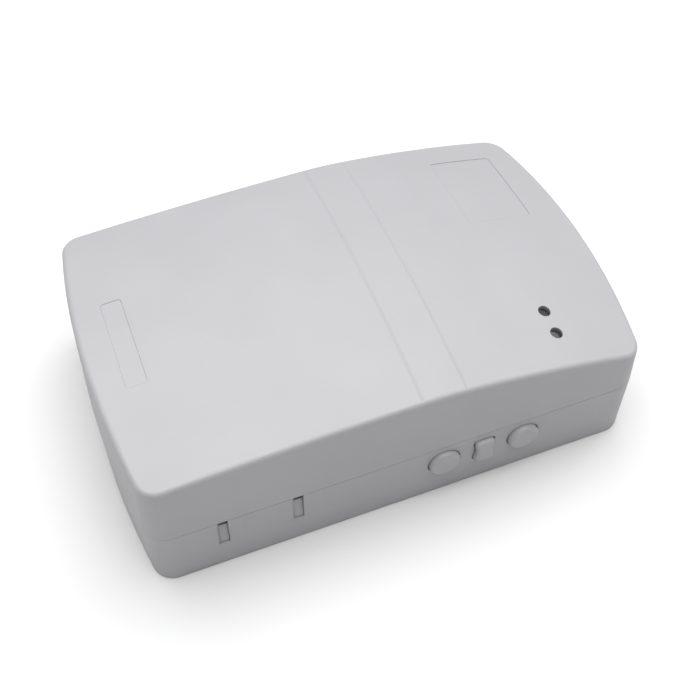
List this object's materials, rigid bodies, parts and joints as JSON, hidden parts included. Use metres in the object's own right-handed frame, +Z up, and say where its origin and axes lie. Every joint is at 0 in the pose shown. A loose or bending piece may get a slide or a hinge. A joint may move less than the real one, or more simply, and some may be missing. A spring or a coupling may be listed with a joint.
{
  "type": "garage door control panel",
  "caption": "Flat moulded box with a crowned lid that slopes down to one end, push-buttons in its front wall and a circuit board inside.",
  "frame": {"origin": "middle of the flat underside of the case", "axes": "+X along the case towards its low end, -Y out of the front wall with the buttons, +Z up through the lid"},
  "size_m": [0.1594, 0.1022, 0.0528],
  "materials": {
    "case_plastic": "fine moulded texture",
    "button_plastic": "fine moulded texture",
    "clear_plastic": "polished clear",
    "lamp_epoxy": "polished tinted",
    "switch_plastic": "moulded",
    "plated_steel": "tinned",
    "screw_steel": "zinc plated",
    "grommet_rubber": "matt",
    "circuit_board": "solder mask",
    "core_steel": "varnished laminations",
    "coil_tape": "taped copper winding",
    "bobbin_plastic": "moulded",
    "relay_plastic": "moulded",
    "terminal_plastic": "moulded",
    "black_epoxy": "moulded",
    "capacitor_sleeve": "sleeved can",
    "suppressor_lacquer": "dipped lacquer",
    "fuse_glass": "clear",
    "wire_insulation": "insulated wire"
  },
  "bodies": {
    "panel": {"base_shell": "case_plastic", "status_lights": "lamp_epoxy", "up_switch_body": "switch_plastic", "stop_switch_body": "switch_plastic", "down_switch_body": "switch_plastic", "switch_brackets": "plated_steel", "radio_can": "plated_steel", "timing_crystal": "plated_steel", "fuse_caps": "plated_steel", "chip_legs": "plated_steel", "regulator_legs": "plated_steel", "regulator_tab": "plated_steel", "lid_screws": "screw_steel", "board_screws": "screw_steel", "terminal_screws": "screw_steel", "mains_cable_grommet": "grommet_rubber", "motor_cable_grommet": "grommet_rubber", "sensor_cable_grommet": "grommet_rubber", "main_board": "circuit_board", "radio_board": "circuit_board", "transformer_core": "core_steel", "transformer_coil": "coil_tape", "transformer_bobbin": "bobbin_plastic", "open_relay": "relay_plastic", "close_relay": "relay_plastic", "mains_terminal": "terminal_plastic", "motor_terminal": "terminal_plastic", "sensor_terminal": "terminal_plastic", "bridge_rectifier": "black_epoxy", "regulator_body": "black_epoxy", "controller_chip": "black_epoxy", "fuse_holder": "black_epoxy", "reservoir_capacitor": "capacitor_sleeve", "bypass_capacitors": "capacitor_sleeve", "surge_suppressor": "suppressor_lacquer", "fuse_glass": "fuse_glass", "radio_aerial": "wire_insulation"},
    "up_button": {"up_button_cap": "button_plastic", "up_switch_plunger": "switch_plastic"},
    "stop_button": {"stop_button_cap": "button_plastic", "stop_switch_plunger": "switch_plastic"},
    "down_button": {"down_button_cap": "button_plastic", "down_switch_plunger": "switch_plastic"},
    "lid": {"lid_shell": "case_plastic", "light_pipes": "clear_plastic"}
  },
  "joints": [
    {"name": "up_button_press", "type": "slide", "parent": "panel", "child": "up_button", "axis": [0, 1, 0], "range_m": [0, 0.0005], "stiffness_N_per_m": 2000, "springref_m": -0.0003},
    {"name": "stop_button_press", "type": "slide", "parent": "panel", "child": "stop_button", "axis": [0, 1, 0], "range_m": [0, 0.0005], "stiffness_N_per_m": 2000, "springref_m": -0.0003},
    {"name": "down_button_press", "type": "slide", "parent": "panel", "child": "down_button", "axis": [0, 1, 0], "range_m": [0, 0.0005], "stiffness_N_per_m": 2000, "springref_m": -0.0003},
    {"name": "lid_lift", "type": "slide", "parent": "panel", "child": "lid", "axis": [0, 0, 1], "range_m": [0, 0.06]}
  ]
}
